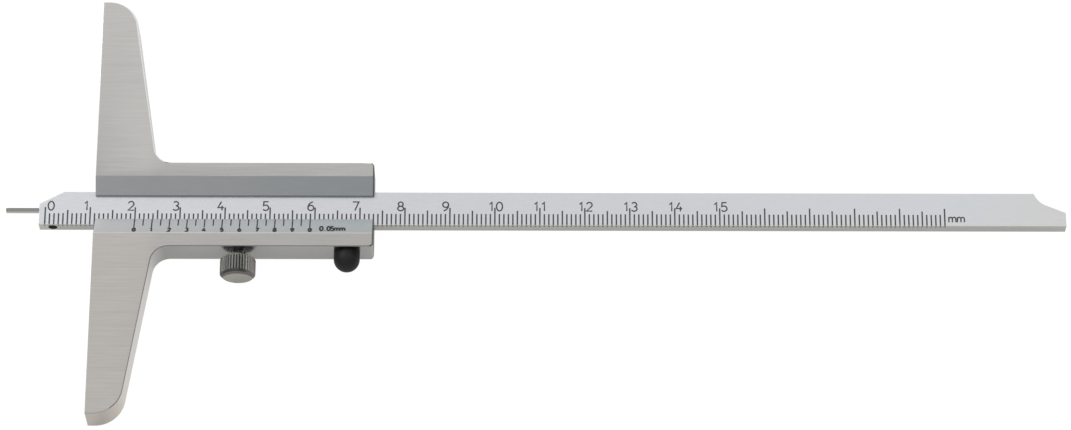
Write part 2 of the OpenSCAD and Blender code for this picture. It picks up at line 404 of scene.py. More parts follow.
def even_shading(thing):
    """Lets the large flat faces keep flat shading beside their broken edges."""
    step = thing.modifiers.new("even_shading", "WEIGHTED_NORMAL")
    step.keep_sharp = True
    step.weight = 100


# Finishes


def group(name, result, **inputs):
    """A node group with named inputs, sizes in metres, and one named output."""
    tree = bpy.data.node_groups.new(name, "ShaderNodeTree")
    for label, start in inputs.items():
        socket = tree.interface.new_socket(label.replace("_", " "), in_out="INPUT",
                                           socket_type="NodeSocketFloat")
        socket.default_value = start
    tree.interface.new_socket(result, in_out="OUTPUT", socket_type="NodeSocketFloat")
    return tree, tree.nodes.new("NodeGroupInput"), tree.nodes.new("NodeGroupOutput")


def feed(tree, socket, value):
    """Gives a node's input a value, or a link from another node."""
    if isinstance(value, bpy.types.NodeSocket):
        tree.links.new(value, socket)
    elif value is not None:
        socket.default_value = value


def node_with(tree, kind, **inputs):
    """A node whose named inputs are fed by values or by other nodes."""
    node = tree.nodes.new("ShaderNode" + kind)
    for label, value in inputs.items():
        feed(tree, node.inputs[label.replace("_", " ")], value)
    return node


def sum_node(tree, operation, a, b=None, c=None, clamp=False):
    """A Math node fed by numbers or sockets."""
    node = tree.nodes.new("ShaderNodeMath")
    node.operation = operation
    node.use_clamp = clamp
    for socket, value in zip(node.inputs, (a, b, c)):
        feed(tree, socket, value)
    return node.outputs[0]


def vector_node(tree, operation, a, b=None):
    """A Vector Math node fed by triples or sockets."""
    node = tree.nodes.new("ShaderNodeVectorMath")
    node.operation = operation
    for socket, value in zip(node.inputs, (a, b)):
        feed(tree, socket, value)
    return node.outputs["Value" if operation in ("LENGTH", "DOT_PRODUCT") else "Vector"]


def own_place(tree):
    """Place on a piece in the shared frame, which stays with the piece when it moves."""
    return tree.nodes.new("ShaderNodeTexCoord").outputs["Object"]


def span(tree, value, low, high, to_low=0.0, to_high=1.0):
    """A clamped Map Range node from one span to another."""
    return node_with(tree, "MapRange", Value=value, From_Min=low, From_Max=high, To_Min=to_low,
                     To_Max=to_high).outputs["Result"]


def blend_colours(tree, share, first, second):
    """A Mix node between two colours, each a triple or a socket."""
    node = tree.nodes.new("ShaderNodeMix")
    node.data_type = "RGBA"
    sockets = {socket.identifier: socket for socket in node.inputs}
    for label, value in (("Factor_Float", share), ("A_Color", first), ("B_Color", second)):
        feed(tree, sockets[label], (*value, 1) if isinstance(value, tuple) else value)
    return next(s for s in node.outputs if s.identifier == "Result_Color")


def noise(tree, place, scale, detail, roughness=0.5):
    return node_with(tree, "TexNoise", Vector=place, Scale=scale, Detail=detail,
                     Roughness=roughness).outputs["Fac"]


def make_brushed_grain():
    """Grain of a brushed or ground surface, drawn out along X."""
    tree, given, result = group("brushed_grain", "Grain", Stroke_Length=0.02, Stroke_Width=0.0003)
    length, width = given.outputs["Stroke Length"], given.outputs["Stroke Width"]
    size = node_with(tree, "CombineXYZ", X=length, Y=width, Z=width)
    spread = vector_node(tree, "DIVIDE", own_place(tree), size.outputs["Vector"])
    grain = span(tree, noise(tree, spread, 1.0, 4.0, 0.65), 0.3, 0.7)
    tree.links.new(grain, result.inputs["Grain"])
    return tree


def make_handling_marks():
    """Broad, faint patches where fingers have dulled the surface."""
    tree, given, result = group("handling_marks", "Marks", Patch_Size=0.02)
    scale = sum_node(tree, "DIVIDE", 1.0, given.outputs["Patch Size"])
    marks = span(tree, noise(tree, own_place(tree), scale, 3.0), 0.4, 0.65)
    tree.links.new(marks, result.inputs["Marks"])
    return tree


def make_edge_wear():
    """Mask of the edges that hands and the bench have rubbed bright."""
    tree, given, result = group("edge_wear", "Wear", Edge_Width=0.0002)
    rounded = node_with(tree, "Bevel", Radius=given.outputs["Edge Width"])
    rounded.samples = 4
    surface = tree.nodes.new("ShaderNodeNewGeometry")
    turn = vector_node(tree, "DOT_PRODUCT", rounded.outputs["Normal"], surface.outputs["Normal"])
    tree.links.new(span(tree, turn, 0.98, 0.75), result.inputs["Wear"])
    return tree


BRUSHED_GRAIN = make_brushed_grain()
HANDLING_MARKS = make_handling_marks()
EDGE_WEAR = make_edge_wear()


def placed(tree, source, **values):
    """Places a node group in a material with its own values."""
    node = tree.nodes.new("ShaderNodeGroup")
    node.node_tree = source
    for label, number in values.items():
        node.inputs[label.replace("_", " ")].default_value = number
    return node.outputs[0]


def emptied(owner, output="ShaderNodeOutputMaterial"):
    """The node tree of a material or world with only an output, and where its surface goes in."""
    owner.use_nodes = True
    tree = owner.node_tree
    tree.nodes.clear()
    return tree, tree.nodes.new(output).inputs["Surface"]


def new_material(name):
    """A material with its Principled shader."""
    material = bpy.data.materials.new(name)
    tree, surface = emptied(material)
    shader = tree.nodes.new("ShaderNodeBsdfPrincipled")
    tree.links.new(shader.outputs["BSDF"], surface)
    return material, tree, shader


def coat(tree, shader, colour, roughness):
    tree.links.new(colour, shader.inputs["Base Color"])
    tree.links.new(roughness, shader.inputs["Roughness"])


def bump(tree, shader, height, depth):
    """Feeds a height into the shader's normal; depth is in metres."""
    node = node_with(tree, "Bump", Strength=1.0, Distance=depth, Height=height)
    tree.links.new(node.outputs["Normal"], shader.inputs["Normal"])


WHITE = (1.0, 1.0, 1.0)


def tinted(colour, factor):
    return tuple(min(1.0, c * factor) for c in colour)


def swung(tree, share, colour, tone):
    """A colour that swings by a tone to both sides with a share."""
    return blend_colours(tree, share, tinted(colour, 1 - tone), tinted(colour, 1 + tone))


def along(tree, axis, start, end):
    """Mask that rises from one place along an axis to another, places in millimetres."""
    place = node_with(tree, "SeparateXYZ", Vector=own_place(tree))
    return span(tree, place.outputs[axis], start * MM, end * MM)


def reach_from(tree, x, z):
    """Distance from the line along Y through a place in millimetres."""
    offset = vector_node(tree, "SUBTRACT", own_place(tree), (x * MM, 0, z * MM))
    return vector_node(tree, "LENGTH", vector_node(tree, "MULTIPLY", offset, (1, 0, 1)))


def toned(tree, colour, mask, tint):
    """A colour that takes on a tint where a mask rises."""
    return vector_node(tree, "MULTIPLY", colour, blend_colours(tree, mask, WHITE, tint))


def toned_along(tree, colour, tones):
    """A colour that takes on one tint after another, each as (axis, start, end, tint)."""
    for axis, start, end, tint in tones:
        colour = toned(tree, colour, along(tree, axis, start, end), tint)
    return colour


# What all bare metal shares
FINGER_PATCH = 0.018
WORN_WIDTH = 0.0002
GRAIN_DEPTH = 0.000002
ROUGHNESS_SWING = 0.05
SIDE_TONE = 0.03
SIDE_ROUGHNESS_SWING = 0.04
MARKED_ROUGHNESS = 0.04
WORN_SHARE = 0.6
WORN_TINT = 1.12
# Faces count as sides between these shares of their normal along Z
SIDE_TILTS = (0.25, 0.55)
# The fillets beside the slider, and the other sides facing along X to its left, are painted
# brighter than the ground sides: a painted reflection. They lie to the left of the first place
# along X below, and these shares of their normal point along X.
PAINTED_SHEEN_TINT = 1.42
PAINTED_SHEEN_FROM_X = 30
PAINTED_SHEEN_FULL_X = 20
PAINTED_SHEEN_TILTS = (0.3, 0.95)


def metal(name, colour, roughness, stroke=(0.02, 0.0003), tone=0.05, side=None, tones=(),
          side_tones=(), shade_arc=None):
    """Bare metal with a brushed grain, rubbed edges, finger marks and ground side faces, with
    painted light and shade.

    The tones are painted light and shade, as toned_along takes them. side is the colour and
    roughness of side faces, whose colour is painted darker for the shade that they mirror;
    side_tones paint light and shade on the sides, and a shade arc, if given, paints shade outside a
    disc.
    """
    material, tree, shader = new_material(name)
    shader.inputs["Metallic"].default_value = 1.0
    grain = placed(tree, BRUSHED_GRAIN, Stroke_Length=stroke[0], Stroke_Width=stroke[1])
    marks = placed(tree, HANDLING_MARKS, Patch_Size=FINGER_PATCH)
    wear = placed(tree, EDGE_WEAR, Edge_Width=WORN_WIDTH)
    face_colour = swung(tree, grain, colour, tone)
    face_rough = span(tree, grain, 0.0, 1.0, roughness - ROUGHNESS_SWING,
                      roughness + ROUGHNESS_SWING)
    # Painted light and shade along the piece
    face_colour = toned_along(tree, face_colour, tones)
    # Painted shade outside a disc on the face
    if shade_arc:
        centre, start, end, tint = shade_arc
        mask = span(tree, reach_from(tree, *centre), start * MM, end * MM)
        face_colour = toned(tree, face_colour, mask, tint)
    if side:
        normal = node_with(tree, "TexCoord").outputs["Normal"]
        facing = node_with(tree, "SeparateXYZ", Vector=normal)
        upright = sum_node(tree, "ABSOLUTE", facing.outputs["Z"])
        on_side = span(tree, upright, *SIDE_TILTS, 1.0, 0.0)
        side_base, side_roughness = side
        # The sides' darker colour is painted shade, for the shade that they mirror
        side_colour = swung(tree, grain, side_base, SIDE_TONE)
        # Painted reflection: sides facing along X near the slider are painted brighter
        painted_sheen = sum_node(tree, "MULTIPLY", along(tree, "X", PAINTED_SHEEN_FROM_X, PAINTED_SHEEN_FULL_X),
                          span(tree, facing.outputs["X"], *PAINTED_SHEEN_TILTS))
        side_colour = blend_colours(tree, painted_sheen, side_colour, tinted(side_base, PAINTED_SHEEN_TINT))
        # Painted light and shade on the sides
        side_colour = toned_along(tree, side_colour, side_tones)
        face_colour = blend_colours(tree, on_side, face_colour, side_colour)
        side_rough = sum_node(tree, "MULTIPLY_ADD", grain, SIDE_ROUGHNESS_SWING, side_roughness)
        change = sum_node(tree, "SUBTRACT", side_rough, face_rough)
        face_rough = sum_node(tree, "MULTIPLY_ADD", on_side, change, face_rough)
    worn = sum_node(tree, "MULTIPLY", wear, WORN_SHARE)
    face_colour = blend_colours(tree, worn, face_colour, tinted(colour, WORN_TINT))
    coat(tree, shader, face_colour,
         sum_node(tree, "MULTIPLY_ADD", marks, MARKED_ROUGHNESS, face_rough, clamp=True))
    bump(tree, shader, grain, GRAIN_DEPTH)
    return material


# Painted light and shade: the frame is painted darker beyond X 11.5 to 14.5 and towards the lower
# arm; its sides are painted lighter along the lower arm and darker again towards its tip.
FRAME_STEEL = metal("brushed_frame_steel", (0.485, 0.474, 0.46), 0.33,
                    stroke=(0.012, 0.00022), tone=0.075, side=((0.40, 0.395, 0.38), 0.14),
                    tones=(("X", 11.5, 14.5, (0.92, 0.93, 0.935)),
                           ("Y", 12, -12, (0.91, 0.887, 0.872))),
                    side_tones=(("Y", -13, -19, (1.3, 1.245, 1.205)),
                                ("Y", -40, -47, (0.93, 0.9, 0.865))))
# Painted light and shade: the bevels are painted darker towards the slider's right end, and the
# vernier's bevel is painted lighter, then darker again down towards its lower edge.
BEVEL_CHROME = metal("satin_chrome_bevel", (0.555, 0.56, 0.57), 0.33,
                     stroke=(0.004, 0.0003), tone=0.025,
                     tones=(("X", 0, 62, (0.835, 0.885, 0.89)),
                            ("Y", -2.0, -2.6, (1.1, 1.1, 1.1)),
                            ("Y", -3.0, -6.5, (0.84, 0.84, 0.84))))
# Rubbed edges, whose bright colour also paints the highlight that they catch: painted highlight
RUBBED_HIGHLIGHT_STEEL = metal("rubbed_and_highlit_edge_steel", (0.80, 0.79, 0.77), 0.3, stroke=(0.002, 0.0003))
# Painted shade: dark edges and end face at the slider's right end and the vernier's left end
END_SHADE_STEEL = metal("painted_shade_edge_steel", (0.17, 0.17, 0.165), 0.4, stroke=(0.002, 0.0003))
# Painted highlight on the lower land's crease and on the lower arm's tip edge
CREASE_HIGHLIGHT_STEEL = metal("crease_highlight_steel", (0.54, 0.54, 0.53), 0.3, stroke=(0.002, 0.0003))
# Painted shade on the lower arm's front edges
SHADED_STEEL = metal("shaded_edge_steel", (0.36, 0.35, 0.335), 0.35, stroke=(0.002, 0.0003))
# Painted light: the beam is painted lighter from X 70 to 190 and tinted towards its far end; its
# sides are painted darker, as shade.
BEAM_CHROME = metal("satin_chrome_beam", (0.595, 0.605, 0.63), 0.36,
                    stroke=(0.003, 0.0003), tone=0.02, side=((0.46, 0.46, 0.435), 0.18),
                    tones=(("X", 70, 190, (1.09, 1.105, 1.105)),
                           ("X", 190, 213, (1.01, 0.985, 0.94))))
# Painted reflection: the pin is dark on its side towards positive Y and three times lighter towards
# negative Y, darker again at its very edge.
PIN_STEEL = metal("ground_pin_steel", (0.24, 0.24, 0.226), 0.25, stroke=(0.0003, 0.004),
                  tones=(("Y", 0.0, -0.45, (3.0, 3.0, 3.0)),
                         ("Y", -0.5, -0.58, (0.65, 0.65, 0.65))))
# Painted shade on the upper side of the head's end face: the centre (X, Z) of the unshaded disc
# beside it, the radii where the painted shade starts and where it is whole, and its tint
END_FACE_SHADE = ((CLAMP_X, AXIS_Z - 1.66), 3.4, 3.8, (0.29, 0.3, 0.29))
SCREW_STEEL = metal("turned_screw_steel", (0.39, 0.368, 0.33), 0.3, stroke=(0.0004, 0.0004),
                    tone=0.12, shade_arc=END_FACE_SHADE)
# Oiled steel, painted darker still as shade between the head and the rail, darkest on the head's
# face towards the rail
OILED_AND_SHADED_STEEL = metal("oiled_and_shaded_screw_steel", (0.27, 0.28, 0.28), 0.35, stroke=(0.0004, 0.0004),
                    tones=(("Y", HEAD_TOP_Y + 0.2, HEAD_TOP_Y + 0.05, (0.48, 0.5, 0.53)),))
SPRING_BRONZE = metal("rolled_spring_bronze", (0.50, 0.27, 0.10), 0.3)
SHOE_BRASS = metal("turned_shoe_brass", (0.60, 0.42, 0.16), 0.28, stroke=(0.0004, 0.0004))
BLACK_OXIDE = metal("black_oxide_steel", (0.03, 0.03, 0.032), 0.4, stroke=(0.0004, 0.0004))


# Tones of the knurled head: darker in the valleys, a painted highlight on the rim towards the rail,
# painted light on the right, and a stripe of painted shade beside the middle
VALLEY_COLOUR = (0.108, 0.108, 0.103)
RIDGE_COLOUR = (0.192, 0.191, 0.181)
RIDGE_LAND = 0.04
WORN_RIDGE_COLOUR = (0.3, 0.3, 0.28)
WORN_RIDGE_SHARE = 0.2
RIM_HIGHLIGHT_COLOUR = (0.7, 0.69, 0.62)
RIM_END = 0.3
RIGHT_LIGHT_TINT = (2.2, 2.15, 2.1)
RIGHT_FALL = 2.5
STRIPE_SHADE_TINT = (0.61, 0.62, 0.6)
SHADE_STRIPE = (0.1, 0.7, 1.6, 2.3)
KNURL_ROUGHNESS = (0.42, 0.58)
KNURL_GRAIN_DEPTH = 0.000004


def make_knurl_steel():
    """Knurled steel: rubbed ridges, darker in the valleys, with a painted highlight on the rim,
    painted light on the right and a painted shade stripe.
    """
    material, tree, shader = new_material("knurled_steel")
    shader.inputs["Metallic"].default_value = 1.0
    ridge = span(tree, reach_from(tree, CLAMP_X, AXIS_Z), (HEAD_RADIUS - KNURL_DEPTH) * MM,
                 (HEAD_RADIUS - RIDGE_LAND) * MM)
    grain = placed(tree, BRUSHED_GRAIN, Stroke_Length=0.0004, Stroke_Width=0.0004)
    wear = placed(tree, EDGE_WEAR, Edge_Width=0.0001)
    colour = blend_colours(tree, ridge, VALLEY_COLOUR, RIDGE_COLOUR)
    worn = sum_node(tree, "MULTIPLY", wear, WORN_RIDGE_SHARE)
    colour = blend_colours(tree, worn, colour, WORN_RIDGE_COLOUR)
    # Painted highlight on the rim towards the rail
    rim = along(tree, "Y", HEAD_TOP_Y - HEAD_CHAMFER, HEAD_TOP_Y - RIM_END)
    colour = blend_colours(tree, rim, colour, RIM_HIGHLIGHT_COLOUR)
    # Painted light, stronger towards the right
    right = sum_node(tree, "POWER", along(tree, "X", CLAMP_X - HEAD_RADIUS,
                                          CLAMP_X + HEAD_RADIUS), RIGHT_FALL)
    bright = blend_colours(tree, rim, RIGHT_LIGHT_TINT, WHITE)
    colour = blend_colours(tree, right, colour, vector_node(tree, "MULTIPLY", colour, bright))
    # Painted shade in a stripe beside the middle
    left_start, left_full, right_full, right_start = (CLAMP_X + place for place in SHADE_STRIPE)
    shade_striped = sum_node(tree, "MULTIPLY", along(tree, "X", left_start, left_full),
                    along(tree, "X", right_start, right_full))
    colour = toned(tree, colour, shade_striped, STRIPE_SHADE_TINT)
    coat(tree, shader, colour, span(tree, grain, 0.0, 1.0, *KNURL_ROUGHNESS))
    bump(tree, shader, grain, KNURL_GRAIN_DEPTH)
    return material


PLASTIC_COLOURS = ((0.013, 0.014, 0.0135), (0.019, 0.02, 0.018))
PLASTIC_ROUGHNESS = (0.5, 0.6)
PLASTIC_SKIN_SCALE = 5000.0
PLASTIC_SKIN_DEPTH = 0.000008


def make_black_plastic():
    """Moulded black plastic with a faint skin of fine bumps."""
    material, tree, shader = new_material("moulded_black_plastic")
    skin = noise(tree, own_place(tree), PLASTIC_SKIN_SCALE, 3.0)
    marks = placed(tree, HANDLING_MARKS, Patch_Size=0.003)
    coat(tree, shader, blend_colours(tree, marks, *PLASTIC_COLOURS),
         span(tree, marks, 0.0, 1.0, *PLASTIC_ROUGHNESS))
    shader.inputs["IOR"].default_value = 1.45
    shader.inputs["Specular IOR Level"].default_value = 0.3
    bump(tree, shader, skin, PLASTIC_SKIN_DEPTH)
    return material


INK_TINT = 1.5
INK_ROUGHNESS = (0.45, 0.6)


def make_ink(name, colour):
    """Dark filling of the engraved lines and numerals, a little uneven."""
    material, tree, shader = new_material(name)
    marks = placed(tree, HANDLING_MARKS, Patch_Size=0.0008)
    coat(tree, shader, blend_colours(tree, marks, colour, tinted(colour, INK_TINT)),
         span(tree, marks, 0.0, 1.0, *INK_ROUGHNESS))
    return material


KNURL_STEEL = make_knurl_steel()
BLACK_PLASTIC = make_black_plastic()
SCALE_INK = make_ink("scale_filling", (0.045, 0.042, 0.036))
FAINT_INK = make_ink("faint_scale_filling", (0.17, 0.17, 0.16))
VERNIER_INK = make_ink("vernier_filling", (0.02, 0.02, 0.02))


# Frame


def arm_edge(rail_y):
    """Right-hand edge of one arm, from its tip to the rail, on the side of positive Y."""
    tip = Vector((ARM_TIP_FLAT, BRIDGE_LENGTH / 2 - ARM_TIP_RADIUS))
    root = Vector((ARM_ROOT_WIDTH, rail_y))
    run = root - tip
    normal = math.degrees(math.atan2(run.y, run.x) + math.acos(ARM_TIP_RADIUS / run.length))
    lean = math.radians(normal)
    fillet_x = root.x + ROOT_FILLET * (1 - math.sin(lean)) / math.cos(lean)
    fillet = (fillet_x, root.y + ROOT_FILLET)
    edge = [(0, BRIDGE_LENGTH / 2)]
    edge += arc(tip, ARM_TIP_RADIUS, 90, normal, ARC_STEPS)
    edge += arc(fillet, ROOT_FILLET, 180 + normal, 270, FILLET_STEPS)
    return edge


def slideway_profile():
    """Section of the slideway from the upper land, down through the channel, to the lower land."""
    return [(UPPER_BEVEL_Y, FRAME_THICKNESS), (UPPER_LIP_Y, UPPER_LIP_TOP),
            (UPPER_LIP_Y, SLIDEWAY_TOP), (SLIDE_UPPER_Y, SLIDEWAY_TOP),
            (SLIDE_UPPER_Y, SLIDEWAY_FLOOR), (SLIDE_LOWER_Y, SLIDEWAY_FLOOR),
            (SLIDE_LOWER_Y, SLIDEWAY_TOP), (VERNIER_Y, SLIDEWAY_TOP),
            (VERNIER_Y, VERNIER_TOP), (LOWER_BEVEL_Y, FRAME_THICKNESS)]


def frame_blank():
    """Bridge and slider in one solid, with the slideway but without its holes."""
    end = SLIDER_LENGTH
    corner = end - SLIDER_CORNER
    upper = arm_edge(UPPER_RAIL_Y)
    upper += arc((corner, UPPER_RAIL_Y - SLIDER_CORNER), SLIDER_CORNER, 90, 0, CORNER_STEPS)
    lower = [(x, -y) for x, y in arm_edge(-LOWER_RAIL_Y)]
    lower += arc((corner, LOWER_RAIL_Y + SLIDER_CORNER), SLIDER_CORNER, 270, 360, CORNER_STEPS)
    profile = slideway_profile()
    shell = Shell()
    shell.face([(x, y, 0) for x, y in upper + lower[::-1]])
    top = FRAME_THICKNESS
    shell.face([(x, y, top) for x, y in upper + [(end, UPPER_BEVEL_Y), (0, UPPER_BEVEL_Y)]])
    shell.face([(x, y, top) for x, y in lower + [(end, LOWER_BEVEL_Y), (0, LOWER_BEVEL_Y)]])
    for edge in (upper, lower):
        for (ax, ay), (bx, by) in zip(edge, edge[1:]):
            shell.face([(ax, ay, 0), (bx, by, 0), (bx, by, top), (ax, ay, top)])
    for x, high, low in ((0, upper[0][1], lower[0][1]), (end, upper[-1][1], lower[-1][1])):
        ring = [(x, low, 0), (x, high, 0), (x, high, top)]
        ring += [(x, y, z) for y, z in profile] + [(x, low, top)]
        shell.face(ring)
    for (ay, az), (by, bz) in zip(profile, profile[1:]):
        shell.face([(0, ay, az), (0, by, bz), (end, by, bz), (end, ay, az)])
    return shell.mesh


def frame_hole_cutters():
    """Spring pocket, stepped clamp hole with its chamfered mouth, and the thumb rest's hole."""
    left, right = CLAMP_X - POCKET_HALF, CLAMP_X + POCKET_HALF
    pocket = prism([(left, POCKET_FLOOR_Y), (right, POCKET_FLOOR_Y), (right, POCKET_CUT_TOP_Y),
                    (left, POCKET_CUT_TOP_Y)], SLIDEWAY_FLOOR, SLIDEWAY_TOP)
    mouth = SLIDE_LOWER_Y - LOWER_RAIL_Y
    wide = CLAMP_HOLE_RADIUS + CLAMP_HOLE_CHAMFER
    rings = [(SHOE_HOLE_RADIUS, 0), (SHOE_HOLE_RADIUS, SHOE_HOLE_DEPTH),
             (CLAMP_HOLE_RADIUS, SHOE_HOLE_DEPTH), (CLAMP_HOLE_RADIUS, mouth - CLAMP_HOLE_CHAMFER),
             (wide, mouth), (wide, CLAMP_HOLE_CUT)]
    clamp = to_rail(turned(rings, ROUND_SIDES), CLAMP_X, SLIDE_LOWER_Y)
    stud_radius = THUMB_STUD_RADIUS + THUMB_STUD_CLEARANCE
    stud = to_rail(turned([(stud_radius, 0), (stud_radius, THUMB_HOLE_CUT)], ROUND_SIDES),
                   THUMB_X, LOWER_RAIL_Y + THUMB_STUD_LENGTH + THUMB_HOLE_ROOM)
    return [pocket, clamp, stud]


def frame_edge_break(edge):
    """Width to which an edge of the frame is broken; edges of holes and slideway stay sharp."""
    if not bends(edge):
        return 0.0
    ends = [v.co for v in edge.verts]
    left, right = sorted(p.x for p in ends)
    over_beam = all(p.z > SLIDEWAY_TOP - TOUCH
                    and LOWER_BEVEL_Y - TOUCH < p.y < UPPER_BEVEL_Y + TOUCH for p in ends)
    sideways = abs(ends[0].y - ends[1].y) + abs(ends[0].z - ends[1].z) > SMALL_STEP
    undercut = all(abs(p.z - SLIDEWAY_TOP) < TOUCH for p in ends)
    if over_beam and sideways and not undercut:
        if left > SLIDER_LENGTH - TOUCH:
            return END_EDGE_BREAK
        if right < TOUCH and max(p.y for p in ends) < 0:
            return VERNIER_END_BREAK
    for p in ends:
        in_slideway = (LOWER_BEVEL_Y - WELL_CLEAR < p.y < UPPER_BEVEL_Y + WELL_CLEAR
                       and WELL_CLEAR < p.z < FRAME_THICKNESS - TOUCH)
        in_hole = (WELL_CLEAR < p.x < SLIDER_LENGTH - SLIDER_CORNER
                   and WELL_CLEAR < p.z < FRAME_THICKNESS - WELL_CLEAR)
        if in_slideway or in_hole:
            return 0.0
    middle = (ends[0] + ends[1]) / 2
    if (abs(middle.y - LOWER_RAIL_Y) < WELL_CLEAR
            and WELL_CLEAR < middle.z < FRAME_THICKNESS - WELL_CLEAR):
        return 0.0
    front = middle.z > FRAME_THICKNESS - TOUCH
    if front and abs(middle.y - UPPER_BEVEL_Y) < TOUCH:
        return 0.0
    if right < TOUCH:
        return FACE_EDGE_BREAK
    if middle.x > SLIDER_LENGTH - SLIDER_CORNER:
        return END_EDGE_BREAK
    if front and abs(middle.y - LOWER_BEVEL_Y) < TOUCH:
        return LAND_EDGE_BREAK
    if front and abs(middle.y - UPPER_RAIL_Y) < TOUCH:
        return RAIL_EDGE_BREAK
    if front and middle.y > BRIDGE_LENGTH / 2 - ARM_TIP_RADIUS:
        below = (BRIDGE_LENGTH / 2 - middle.y) / ARM_TIP_RADIUS
        share = min(1.0, math.degrees(math.acos(1 - below)) / WIDE_BREAK_TURN)
        return FACE_EDGE_BREAK + (ARC_EDGE_BREAK - FACE_EDGE_BREAK) * share
    if front and middle.y > UPPER_RAIL_Y:
        share = min(1.0, max(0.0, (middle.y - WIDE_BREAK_FROM_Y) / WIDE_BREAK_RUN))
        return FRAME_EDGE_BREAK + (ARC_EDGE_BREAK - FRAME_EDGE_BREAK) * share
    return FRAME_EDGE_BREAK


# Slots of the frame's finishes, and the finishes in that order
PLAIN, CHROME, BROKEN, END_SHADE, SHADED, CREASED = range(6)
FRAME_FINISHES = [FRAME_STEEL, BEVEL_CHROME, RUBBED_HIGHLIGHT_STEEL, END_SHADE_STEEL, SHADED_STEEL, CREASE_HIGHLIGHT_STEEL]


def frame_finish(face):
    """Slot of the finish that a face of the frame has; some slots hold painted light and shade."""
    middle = face.calc_center_median()
    within = LOWER_BEVEL_Y < middle.y < UPPER_BEVEL_Y
    if face.material_index == BROKEN:
        # The edges at the slider's right end and the vernier's left end are painted dark, as
        # painted shade
        if (middle.x > SLIDER_LENGTH - SLIDER_CORNER - SMALL_STEP
                or (within and face.normal.x < -TURNED_AWAY)):
            return END_SHADE
        # The lower arm's front edges are painted as shade, their tip painted lighter, and the lower
        # land's crease is a painted highlight
        if middle.y < LOWER_BEVEL_Y - WELL_CLEAR and middle.z > FRAME_THICKNESS - RIM_REACH:
            tip = LIGHTER_TIP_LENGTH - BRIDGE_LENGTH / 2
            return CREASED if middle.y < tip and middle.x < LIGHTER_TIP_X else SHADED
        return CREASED if abs(middle.y - LOWER_BEVEL_Y) < RIM_REACH else BROKEN
    # The slider's right end face is painted dark, as painted shade
    if middle.x > SLIDER_LENGTH - END_REACH and face.normal.x > SQUARE_ON:
        return END_SHADE
    if (within and SLIDEWAY_FLOOR - SMALL_STEP < middle.z < FRAME_THICKNESS - END_REACH
            and abs(face.normal.x) < TURNED_AWAY):
        return CHROME
    return PLAIN


def make_frame():
    mesh = cut(frame_blank(), frame_hole_cutters())
    merge_corners(mesh)
    mesh = break_edges(mesh, frame_edge_break, BROKEN)
    shade(mesh)
    for edge in mesh.edges:
        if all(abs(v.co.y - UPPER_BEVEL_Y) < TOUCH and v.co.z > FRAME_THICKNESS - WELL_CLEAR
               for v in edge.verts):
            edge.smooth = False
    mesh.normal_update()
    for face in mesh.faces:
        face.material_index = frame_finish(face)
    body = piece("frame_body", mesh, "frame", FRAME_FINISHES)
    even_shading(body)
    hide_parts("frame")


# Beam


def beam_outline():
    """Outline of the beam with its cut corner and its concave run-out."""
    top = Vector((BEAM_RIGHT - NOSE_LENGTH, BEAM_HALF))
    nose = Vector((BEAM_RIGHT, NOSE_HEIGHT - BEAM_HALF))
    bend = Vector((nose.x - NOSE_LENGTH * NOSE_BEND[0], nose.y + (top.y - nose.y) * NOSE_BEND[1]))
    steep = math.atan2(top.y - bend.y, top.x - bend.x)
    ramp = math.atan2(nose.y - bend.y, nose.x - bend.x)
    half = (steep - ramp) / 2
    reach = NOSE_RADIUS / math.sin(half)
    middle = (steep + ramp) / 2
    centre = (bend.x + reach * math.cos(middle), bend.y + reach * math.sin(middle))
    outline = [(BEAM_LEFT, -BEAM_HALF), (BEAM_RIGHT, -BEAM_HALF), tuple(nose)]
    outline += arc(centre, NOSE_RADIUS, math.degrees(ramp) + 270, math.degrees(steep) + 90,
                   RUN_OUT_STEPS)
    outline += [tuple(top), (BEAM_LEFT + CORNER_CUT, BEAM_HALF), (BEAM_LEFT, CORNER_LAND)]
    return outline


def beam_edge_break(edge):
    """Width to which an edge of the beam is broken; edges of its holes stay sharp."""
    if not bends(edge):
        return 0.0
    ends = [v.co for v in edge.verts]
    left, right = sorted(p.x for p in ends)
    flat = all(min(abs(p.z - BEAM_BACK), abs(p.z - BEAM_FRONT)) < TOUCH for p in ends)
    rise = abs(ends[0].y - ends[1].y)
    upright = right - left < TOUCH and rise < TOUCH
    tall = abs(ends[0].z - ends[1].z) > BEAM_FRONT - BEAM_BACK - SMALL_STEP
    if not flat and not (upright and tall):
        return 0.0
    if rise > CORNER_LAND and BEAM_LEFT + SMALL_STEP < (left + right) / 2 < 0:
        return CUT_EDGE_BREAK
    far = left > BEAM_RIGHT - NOSE_LENGTH - SMALL_STEP
    near = right < BEAM_LEFT + SMALL_STEP
    return BEAM_END_BREAK if far or near else BEAM_EDGE_BREAK


def make_beam():
    bore_radius = PIN_SHANK_RADIUS + PIN_BORE_CLEARANCE
    bore = to_pin(turned([(bore_radius, 0), (bore_radius, PIN_BORE_CUT)], PIN_BORE_SIDES),
                  BEAM_LEFT + PIN_SHANK_LENGTH + PIN_BORE_ROOM)
    hole = to_rail(turned([(PIN_SCREW_HOLE_RADIUS, 0), (PIN_SCREW_HOLE_RADIUS, PIN_SCREW_HOLE_CUT)],
                          PIN_SCREW_HOLE_SIDES), PIN_SCREW_X, PIN_SCREW_HOLE_TOP_Y)
    mesh = cut(prism(beam_outline(), BEAM_BACK, BEAM_FRONT), [bore, hole])
    merge_corners(mesh)
    mesh = break_edges(mesh, beam_edge_break, 1)
    shade(mesh)
    # Its broken edges take the rubbed steel, whose bright colour is also a painted highlight
    beam = piece("beam_body", mesh, "beam", [BEAM_CHROME, RUBBED_HIGHLIGHT_STEEL])
    even_shading(beam)
    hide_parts("beam")


# Turned pieces


